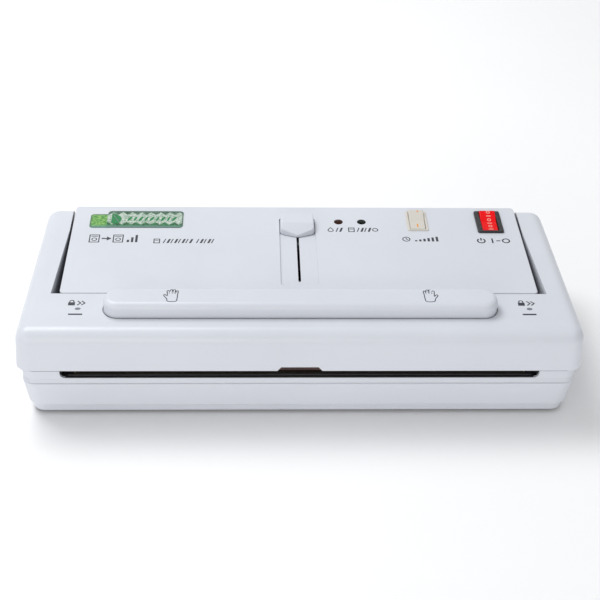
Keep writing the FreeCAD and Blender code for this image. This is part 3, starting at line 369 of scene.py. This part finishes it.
WHITE = (0.640, 0.662, 0.712)
looks = {
    "white_plastic": moulded("white_plastic", WHITE, 0.34, groove_shade=0.85),
    "black_plastic": moulded("black_plastic", (0.018, 0.018, 0.02), 0.38, wear=0.5),
    "ivory_plastic": moulded("ivory_plastic", (0.63, 0.60, 0.54), 0.34, grain_mm=0.006),
    "red_plastic": moulded("red_plastic", (0.82, 0.004, 0.006), 0.30, grain_mm=0.004, wear=0.15, ior=1.25),
    "red_lens": lens_material("red_lens", (0.030, 0.008, 0.003)),
    "green_lens": lens_material("green_lens", (0.003, 0.007, 0.004)),
    "grey_rubber": rubbery("grey_rubber", (0.045, 0.045, 0.048), 0.72),
    "foam": foam_material("foam", (0.03, 0.03, 0.033)),
    "silicone": rubbery("silicone", (0.06, 0.028, 0.024), 0.5, 900.0, 0.012),
    "clear_tube": rubbery("clear_tube", (0.55, 0.56, 0.54), 0.35, 700.0, 0.01),
    "steel": metal("steel", (0.56, 0.57, 0.58), 0.32, (1.0, 0.08, 1.0)),
    "laminations": metal("laminations", (0.24, 0.24, 0.26), 0.45, (1.0, 1.0, 0.05), 0.03),
    "nichrome": metal("nichrome", (0.40, 0.38, 0.36), 0.38, (0.04, 1.0, 1.0)),
    "cover_cloth": cloth_material("cover_cloth", (0.035, 0.03, 0.026)),
    "magnet": rubbery("magnet", (0.06, 0.06, 0.065), 0.6),
    "aluminium": metal("aluminium", (0.70, 0.71, 0.72), 0.3, (0.06, 1.0, 1.0)),
    "brass": metal("brass", (0.72, 0.52, 0.22), 0.3),
    "copper_winding": winding_material("copper_winding"),
    "circuit_board": board_material("circuit_board"),
    "grey_plastic": moulded("grey_plastic", (0.20, 0.21, 0.22), 0.45),
    "blue_plastic": moulded("blue_plastic", (0.04, 0.12, 0.35), 0.4),
}
label_low, label_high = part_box("panel_label")
looks["label_film"] = label_material("label_film", label_low, label_high)
ink = print_material("ink_grey", (0.022, 0.026, 0.036))
pale_ink = print_material("ink_pale", (0.80, 0.30, 0.24), 0.4)
soft_ink = print_material("ink_soft", (0.16, 0.17, 0.20))
orange_ink = print_material("ink_orange", (0.72, 0.30, 0.03))
leaf_ink = print_material("ink_leaf", (0.002, 0.18, 0.045), 0.5)
rim_ink = print_material("ink_rim", (0.08, 0.15, 0.11))

for entry in frame["record"]["subparts"]:
    mesh = nodes[entry["node"]].data
    mesh.materials.clear()
    mesh.materials.append(looks[entry["material_slot"]])


# ---------------------------------------------------------------- printed marks
MARK_THICKNESS = 0.05 * MM
MARK_SINK = 0.02 * MM
LINE_BEHIND = 75.0             # mm from the lid's front face back to the line the marks are laid out from
LINE_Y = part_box("lid_shell")[0].y / MM + LINE_BEHIND
DECK_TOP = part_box("upper_housing")[1].z / MM
BAR_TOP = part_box("grip_bar")[1].z / MM
ABOVE_ALL = 200.0              # mm, height from which the places of marks are probed
DOWN = Vector((0.0, 0.0, -1.0))


def rectangle(half_x, half_y):
    return [(-half_x, -half_y), (half_x, -half_y), (half_x, half_y), (-half_x, half_y)]


def offset_loop(points, distance, closed):
    """Points moved sideways by distance, mitred at the corners."""
    count = len(points)
    moved = []
    for i, (x, y) in enumerate(points):
        before = points[i - 1] if closed or i > 0 else points[i]
        after = points[(i + 1) % count] if closed or i < count - 1 else points[i]
        normals = []
        for (ax, ay), (bx, by) in ((before, (x, y)), ((x, y), after)):
            length = math.hypot(bx - ax, by - ay)
            if length > 1e-9:
                normals.append(((by - ay) / length, (ax - bx) / length))
        nx = sum(n[0] for n in normals) / len(normals)
        ny = sum(n[1] for n in normals) / len(normals)
        size = max(nx * nx + ny * ny, 0.35)
        moved.append((x + nx / size * distance, y + ny / size * distance))
    return moved


def stroke(points, width, closed=False):
    """Outlines of a line of the given width along the points."""
    left = offset_loop(points, width / 2, closed)
    right = offset_loop(points, -width / 2, closed)
    return [left, right] if closed else [left + right[::-1]]


def arc(cx, cy, radius, start=0.0, stop=360.0, steps=36):
    full = abs(stop - start) >= 360.0
    count = steps if full else steps + 1
    angles = [math.radians(start + (stop - start) * i / steps) for i in range(count)]
    return [(cx + radius * math.cos(a), cy + radius * math.sin(a)) for a in angles]


def dot_ring(cx, cy, radius, width):
    return stroke(arc(cx, cy, radius), width, True)


def smooth_loop(points, steps=6):
    """Closed Catmull-Rom curve through the points."""
    count = len(points)
    out = []
    for i in range(count):
        p0, p1, p2, p3 = (points[(i + k - 1) % count] for k in range(4))
        for s in range(steps):
            t = s / steps
            out.append(tuple(0.5 * (2 * p1[k] + (p2[k] - p0[k]) * t
                                    + (2 * p0[k] - 5 * p1[k] + 4 * p2[k] - p3[k]) * t * t
                                    + (3 * p1[k] - p0[k] - 3 * p2[k] + p3[k]) * t ** 3) for k in (0, 1)))
    return out


def mark(name, outlines, place, body, material, tilt=0.0):
    """Thin printed film from outlines in mm, lying at place (mm) and riding on a body."""
    curve = bpy.data.curves.new(name, "CURVE")
    curve.dimensions = "2D"
    curve.fill_mode = "BOTH"
    curve.extrude = (MARK_THICKNESS + MARK_SINK) / 2
    for outline in outlines:
        spline = curve.splines.new("POLY")
        spline.points.add(len(outline) - 1)
        for point, (x, y) in zip(spline.points, outline):
            point.co = (x * MM, y * MM, 0.0, 1.0)
        spline.use_cyclic_u = True
    rough = bpy.data.objects.new(name + "_curve", curve)
    bpy.context.scene.collection.objects.link(rough)
    bpy.context.view_layer.update()
    mesh = bpy.data.meshes.new_from_object(rough.evaluated_get(bpy.context.evaluated_depsgraph_get()))
    mesh.name = name
    bpy.data.objects.remove(rough)
    piece = bpy.data.objects.new(name, mesh)
    spot = Vector((place[0], place[1] + LINE_Y, place[2])) * MM
    piece.matrix_world = (Matrix.Translation(spot) @ Matrix.Rotation(tilt, 4, "X")
                          @ Matrix.Translation((0.0, 0.0, (MARK_THICKNESS - MARK_SINK) / 2)))
    bpy.context.scene.collection.objects.link(piece)
    mesh.materials.clear()
    mesh.materials.append(material)
    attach(piece, body)
    return piece


def padlock():
    shackle = arc(0.0, 1.4, 1.35, 0, 180, 14)
    legs = [(1.35, 0.6)] + shackle + [(-1.35, 0.6)]
    body = [(-2.3, -2.9), (2.3, -2.9), (2.3, 0.5), (-2.3, 0.5)]
    return [body] + stroke(legs, 0.75)


def chevron():
    return stroke([(-1.3, 2.0), (0.9, -0.3), (-1.3, -2.6)], 0.85)


HAND = [(-3.4, -6.6), (-4.6, -3.6), (-6.6, -0.8), (-6.9, 0.7), (-5.8, 0.9), (-4.2, -0.6),
        (-4.4, 2.6), (-4.6, 5.0), (-3.7, 5.6), (-2.9, 4.8), (-2.5, 1.9), (-2.2, 5.4), (-1.5, 7.0),
        (-0.6, 6.6), (-0.3, 2.2), (0.3, 6.4), (1.2, 6.9), (1.9, 6.0), (1.7, 2.0), (2.7, 5.0),
        (3.6, 5.3), (4.1, 4.3), (3.7, 0.6), (3.6, -3.0), (2.6, -6.6)]


def hand(flip):
    loop = smooth_loop([(flip * (x + 1.4) * 0.86, y * 0.98) for x, y in HAND], 5)
    return stroke(loop, 0.62, True)


def bag():
    seam = stroke([(-2.4, 2.8), (2.4, 2.8)], 0.7)
    return stroke(rectangle(3.4, 4.6), 0.8, True) + seam + dot_ring(0.0, -1.0, 1.7, 0.7)


def small_bag():
    return stroke(rectangle(2.0, 2.5), 0.75, True) + stroke([(-1.2, 0.8), (1.2, 0.8)], 0.6)


def arrow(size):
    outline = [(-2.9, -0.6), (0.4, -0.6), (0.4, -2.2), (3.2, 0.0), (0.4, 2.2), (0.4, 0.6), (-2.9, 0.6)]
    return [[(x * size, y * size) for x, y in outline]]


def clock():
    return dot_ring(0.0, 0.0, 2.6, 0.75) + stroke([(0.0, 1.6), (0.0, 0.0), (1.3, -0.7)], 0.65)


def bars(heights, pitch, width):
    return [[(i * pitch, 0.0), (i * pitch + width, 0.0), (i * pitch + width, h), (i * pitch, h)]
            for i, h in enumerate(heights)]


def waves(count, pitch):
    """Row of slanting dashes, thick and thin in turn."""
    out = []
    for i in range(count):
        thick = 1.5 if i % 2 else 0.8
        dash = [(0.0, -2.6), (thick, -2.6), (thick + 1.6, 2.6), (1.6, 2.6)]
        out += shifted([dash], i * pitch)
    return out


def shifted(outlines, dx, dy=0.0):
    return [[(x + dx, y + dy) for x, y in outline] for outline in outlines]


def drape(piece, node, level):
    """Lets a mark laid flat at a height of level mm follow the node's upper face."""
    bpy.context.view_layer.update()
    for vertex in piece.data.vertices:
        spot = piece.matrix_world @ vertex.co
        hit, place, _, _ = nodes[node].ray_cast(Vector((spot.x, spot.y, ABOVE_ALL * MM)), DOWN)
        if hit:
            vertex.co.z += place.z - level * MM


def lid_marks():
    dot = [(2.0 * x, 1.35 * y) for x, y in arc(0.0, 0.0, 1.0, steps=20)]
    for side, x, palm_x, flip in (("left", -151.2, -87.7, 1), ("right", 155.2, 87.4, -1)):
        icons = shifted(padlock(), -3.6) + shifted(chevron(), 1.6) + shifted(chevron(), 4.4)
        mark("lock_icon_" + side, icons, (x - 0.5, -40.3, DECK_TOP), "lid", ink)
        mark("lock_dot_" + side, [dot], (x + 0.6, -46.9, DECK_TOP), "lid", soft_ink)
        mark("lock_dash_" + side, [rectangle(4.7, 0.75)], (x - 0.4, -53.0, DECK_TOP), "lid", ink)
        palm = mark("press_hand_" + side, hand(flip), (palm_x, -45.9, BAR_TOP), "lid", ink)
        drape(palm, "grip_bar", BAR_TOP)


def panel_marks():
    large = shifted(bag(), -13.6) + shifted(arrow(1.15), -5.0) + shifted(bag(), 3.6)
    large += shifted(bars((3.0, 6.2, 9.2), 3.0, 1.7), 10.0, -4.6)
    mark("panel_mark_large", large, (-134.1, 37.0, DECK_TOP), "base", ink)
    small = shifted(small_bag(), 2.2) + shifted(waves(8, 2.7), 6.6) + shifted(waves(5, 2.7), 30.6)
    mark("panel_mark_small", small, (-104.6, 34.0, DECK_TOP), "base", ink)
    drop = [(0.0, 2.8)] + arc(0.0, -0.6, 1.9, 150, 390, 16)
    lamps = stroke(drop, 0.7, True) + shifted(waves(2, 2.6), 3.6) + shifted(small_bag(), 15.4)
    lamps += shifted(waves(4, 2.7), 19.2) + shifted(dot_ring(0.0, 0.0, 1.9, 0.7), 33.0)
    mark("lamp_icons", lamps, (24.6, 49.3, DECK_TOP), "base", ink)
    timing = clock() + shifted(bars((1.5, 2.4, 3.3, 4.2, 5.1, 6.0), 3.1, 1.7), 6.2, -2.8)
    mark("time_icons", timing, (79.6, 37.2, DECK_TOP), "base", ink)
    power = stroke(arc(0.0, 0.0, 2.7, 125, 415, 30), 1.05) + stroke([(0.0, 0.3), (0.0, 3.6)], 1.05)
    power += shifted([rectangle(0.55, 3.0)], 8.2) + shifted([rectangle(1.5, 0.5)], 12.6)
    power += shifted(dot_ring(0.0, 0.0, 2.5, 1.0), 18.2)
    mark("power_icons", power, (134.6, 35.4, DECK_TOP), "base", ink)


def on_top(name, outlines, node, x, y, material):
    """Mark laid on a rocker's upper face over the point x, y."""
    hit, place, normal, _ = nodes[node].ray_cast(Vector((x, y + LINE_Y, ABOVE_ALL)) * MM, DOWN)
    if not hit:
        raise RuntimeError("nothing of " + node + " lies under the mark " + name)
    tilt = math.atan2(-normal.y, normal.z)
    mark(name, outlines, (x, y, place.z / MM), node + "_body", material, tilt)


def rocker_marks():
    bpy.context.view_layer.update()
    for i in range(6):
        shape = dot_ring(0.0, 0.0, 1.15, 0.7) if i % 2 else [rectangle(1.7, 0.5)]
        on_top("power_tick_%d" % i, shape, "power_rocker", 143.9, 49.8 + 3.75 * i, pale_ink)
    on_top("time_tick_front", [rectangle(0.55, 2.0)], "time_rocker", 89.6, 54.2, orange_ink)
    on_top("time_tick_rear", [rectangle(0.5, 0.9)], "time_rocker", 90.8, 69.6, orange_ink)


def label_outline(x0, x1, y0, y1, corner):
    """Closed path along the label's border: the main part with the lower tab at its left."""
    def turn(x, y, start):
        return arc(x, y, corner, start, start + 90, 6)

    tab_x, tab_y = x0 + LABEL_TAB, y1 - LABEL_STEP
    path = turn(x1 - corner, y0 + corner, -90) + turn(x1 - corner, y1 - corner, 0)
    path += turn(tab_x + corner, y1 - corner, 90) + [(tab_x, tab_y)]
    return path + turn(x0 + corner, tab_y - corner, 90) + turn(x0 + corner, y0 + corner, 180)


LEAF = [(-3.3, 6.8), (0.6, 5.2), (3.4, 1.6), (3.6, -2.2),
        (1.8, -5.4), (-1.4, -6.6), (-3.5, -5.6), (-3.6, 0.0)]
SMALL_LEAF = [(-1.6, -2.6), (0.2, -1.8), (1.7, 2.6), (-0.3, 1.6)]


def label_marks():
    """Dark border, one large leaf and a row of small leaves."""
    x0, x1 = label_low.x / MM, label_high.x / MM
    y0, y1 = label_low.y / MM - LINE_Y, label_high.y / MM - LINE_Y
    top, inset = label_high.z / MM, 0.55
    path = label_outline(x0 + inset, x1 - inset, y0 + inset, y1 - inset, 2.3)
    mark("label_edge", stroke(path, 0.8, True), (0.0, 0.0, top), "base", rim_ink)
    leaf_x, middle_y = x0 + 19.2, (y0 + y1) / 2 + 0.6
    mark("label_leaf", [smooth_loop(LEAF)], (leaf_x, middle_y, top), "base", leaf_ink)
    vein = stroke([(-2.6, 5.2), (2.2, -4.6)], 0.5)
    mark("label_leaf_vein", vein, (leaf_x, middle_y, top + MARK_THICKNESS / MM), "base", soft_ink)
    sprig = []
    for i in range(9):
        width = 0.8 if i % 2 else 1.1
        sprig += shifted([smooth_loop([(x * width, y) for x, y in SMALL_LEAF], 4)], i * 4.1)
    mark("label_sprig", sprig, (x0 + 29.0, middle_y, top), "base", leaf_ink)


lid_marks()
panel_marks()
rocker_marks()
label_marks()


# ---------------------------------------------------------------- foam rings
GASKET_WIDTH = 4.8             # mm
RING_CORNER = 4.0              # mm, radius of the ring's middle line
RING_SPACING = 3.0             # mm between sections along the straight runs
CORNER_STEPS = 8
CROWN_STEPS = 24
CROWN_POWER = 0.45             # below 1 flattens the crown
SIDE_SHARE = 0.985             # the ring stays this much inside its width
CROWN_SLACK = 0.25             # mm that the crown stays under its full height
SWAY_SHARE = 0.8


def ring_path(low, high, inset):
    """Closed path of (x, y, outward x, outward y) round a rounded rectangle."""
    corner, spacing = RING_CORNER * MM, RING_SPACING * MM
    x0, y0, x1, y1 = low.x + inset, low.y + inset, high.x - inset, high.y - inset
    spots = ((x1 - corner, y0 + corner, -90), (x1 - corner, y1 - corner, 0),
             (x0 + corner, y1 - corner, 90), (x0 + corner, y0 + corner, 180))
    path = []
    for i, (cx, cy, start) in enumerate(spots):
        for step in range(CORNER_STEPS + 1):
            a = math.radians(start + step * 90 / CORNER_STEPS)
            path.append((cx + corner * math.cos(a), cy + corner * math.sin(a), math.cos(a), math.sin(a)))
        next_x, next_y, next_start = spots[(i + 1) % 4]
        a = math.radians(next_start)
        end_x, end_y = next_x + corner * math.cos(a), next_y + corner * math.sin(a)
        from_x, from_y = path[-1][:2]
        count = max(1, int(math.hypot(end_x - from_x, end_y - from_y) / spacing))
        for k in range(1, count):
            f = k / count
            x, y = from_x + (end_x - from_x) * f, from_y + (end_y - from_y) * f
            path.append((x, y, math.cos(a), math.sin(a)))
    return path


def foam_profile(width):
    """Section of a foam ring: (across, lift from 0 to 1) pairs, closed by a flat back."""
    half = width / 2 * SIDE_SHARE
    profile = []
    for i in range(CROWN_STEPS + 1):
        a = math.pi * i / CROWN_STEPS
        profile.append((-math.cos(a) * half, math.sin(a) ** CROWN_POWER))
    return profile + [(half, 0.0), (-half, 0.0)]


def foam_verts(name, low, high, path, profile, crowned_up):
    """Profile swept along the path, its crown swaying a little along the way."""
    rng = random.Random(name)
    phases = [(rng.uniform(30, 160), rng.uniform(0, 6.28), rng.uniform(0.02, 0.06)) for _ in range(6)]
    height = high.z - low.z
    verts = []
    travelled = 0.0
    for i, (px, py, ox, oy) in enumerate(path):
        if i:
            travelled += math.hypot(px - path[i - 1][0], py - path[i - 1][1])
        sway = sum(size * math.sin(rate * travelled + phase) for rate, phase, size in phases)
        for across, lift in profile:
            rise = lift * (height - CROWN_SLACK * MM + sway * MM * SWAY_SHARE)
            z = low.z + rise if crowned_up else high.z - rise
            verts.append((px + ox * across, py + oy * across, z))
    return verts


def swept_faces(count, size, flipped):
    faces = []
    for i in range(count):
        for k in range(size):
            a, b = i * size + k, i * size + (k + 1) % size
            c, d = ((i + 1) % count) * size + (k + 1) % size, ((i + 1) % count) * size + k
            faces.append((d, c, b, a) if flipped else (a, b, c, d))
    return faces


def foam_ring(name, node, body, crowned_up):
    """Soft ring whose free face is crowned and slightly uneven."""
    low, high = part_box(node)
    width = GASKET_WIDTH * MM
    path, profile = ring_path(low, high, width / 2), foam_profile(width)
    verts = foam_verts(name, low, high, path, profile, crowned_up)
    mesh = bpy.data.meshes.new(name)
    mesh.from_pydata(verts, [], swept_faces(len(path), len(profile), not crowned_up))
    mesh.polygons.foreach_set("use_smooth", [True] * len(mesh.polygons))
    mesh.update()
    piece = bpy.data.objects.new(name, mesh)
    bpy.context.scene.collection.objects.link(piece)
    mesh.materials.append(looks["foam"])
    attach(piece, body)
    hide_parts(node)


foam_ring("base_foam_ring", "base_gasket", "base", True)
foam_ring("lid_foam_ring", "lid_gasket", "lid", False)


# ---------------------------------------------------------------- studio
FLOOR_HALF, FLOOR_FRONT, FLOOR_BACK = 3.0, -3.0, 1.6
WALL_HEIGHT, SWEEP_RADIUS, SWEEP_STEPS = 1.8, 0.6, 12
FLOOR_TONES = ((0.93, 0.93, 0.93, 1), (0.95, 0.95, 0.95, 1))
FLOOR_ROUGH = 0.75
AIM = (0, 0, 0.05)
KEY_LIGHT = ((-0.55, 0.45, 1.35), (0.9, 0.7), 14.2, (0.985, 0.995, 1.0))       # place, size, watts, colour
FILL_LIGHT = ((-0.45, -1.35, 0.34), (1.5, 0.7), 7.3, (1.0, 0.978, 0.97))
SKY_COLOR, SKY_STRENGTH = (0.97, 0.98, 1.0, 1.0), 0.55


def make_floor():
    """Pale floor that sweeps up into a wall behind the machine."""
    mesh = bpy.data.meshes.new("studio_floor")
    bend = FLOOR_BACK - SWEEP_RADIUS
    turns = [math.radians(90 * i / SWEEP_STEPS) for i in range(1, SWEEP_STEPS + 1)]
    rows = [(FLOOR_FRONT, 0.0), (bend, 0.0)]
    rows += [(bend + SWEEP_RADIUS * math.sin(a), SWEEP_RADIUS - SWEEP_RADIUS * math.cos(a)) for a in turns]
    rows.append((FLOOR_BACK, WALL_HEIGHT))
    verts = [(x, y, z) for y, z in rows for x in (-FLOOR_HALF, FLOOR_HALF)]
    faces = [(2 * i, 2 * i + 1, 2 * i + 3, 2 * i + 2) for i in range(len(rows) - 1)]
    mesh.from_pydata(verts, [], faces)
    mesh.polygons.foreach_set("use_smooth", [True] * len(mesh.polygons))
    floor = bpy.data.objects.new("studio_floor", mesh)
    bpy.context.scene.collection.objects.link(floor)
    t = Tree("studio_floor")
    t.put(t.bsdf.inputs["Base Color"], t.mix(t.ramp(t.noise(3.0), 0.3, 0.7), *FLOOR_TONES))
    t.bsdf.inputs["Roughness"].default_value = FLOOR_ROUGH
    mesh.materials.append(t.mat)


def make_light(name, place, size, power, color):
    data = bpy.data.lights.new(name, "AREA")
    data.shape = "RECTANGLE"
    data.size, data.size_y = size
    data.energy = power
    data.color = color
    light = bpy.data.objects.new(name, data)
    light.location = place
    light.rotation_euler = (Vector(AIM) - Vector(place)).to_track_quat("-Z", "Y").to_euler()
    bpy.context.scene.collection.objects.link(light)


def make_studio():
    make_floor()
    make_light("key_light", *KEY_LIGHT)
    make_light("fill_light", *FILL_LIGHT)
    world = bpy.data.worlds.new("studio_world")
    world.use_nodes = True
    sky = world.node_tree.nodes["Background"]
    sky.inputs[0].default_value = SKY_COLOR
    sky.inputs[1].default_value = SKY_STRENGTH
    bpy.context.scene.world = world
    bpy.context.scene.view_settings.view_transform = "Standard"


make_studio()
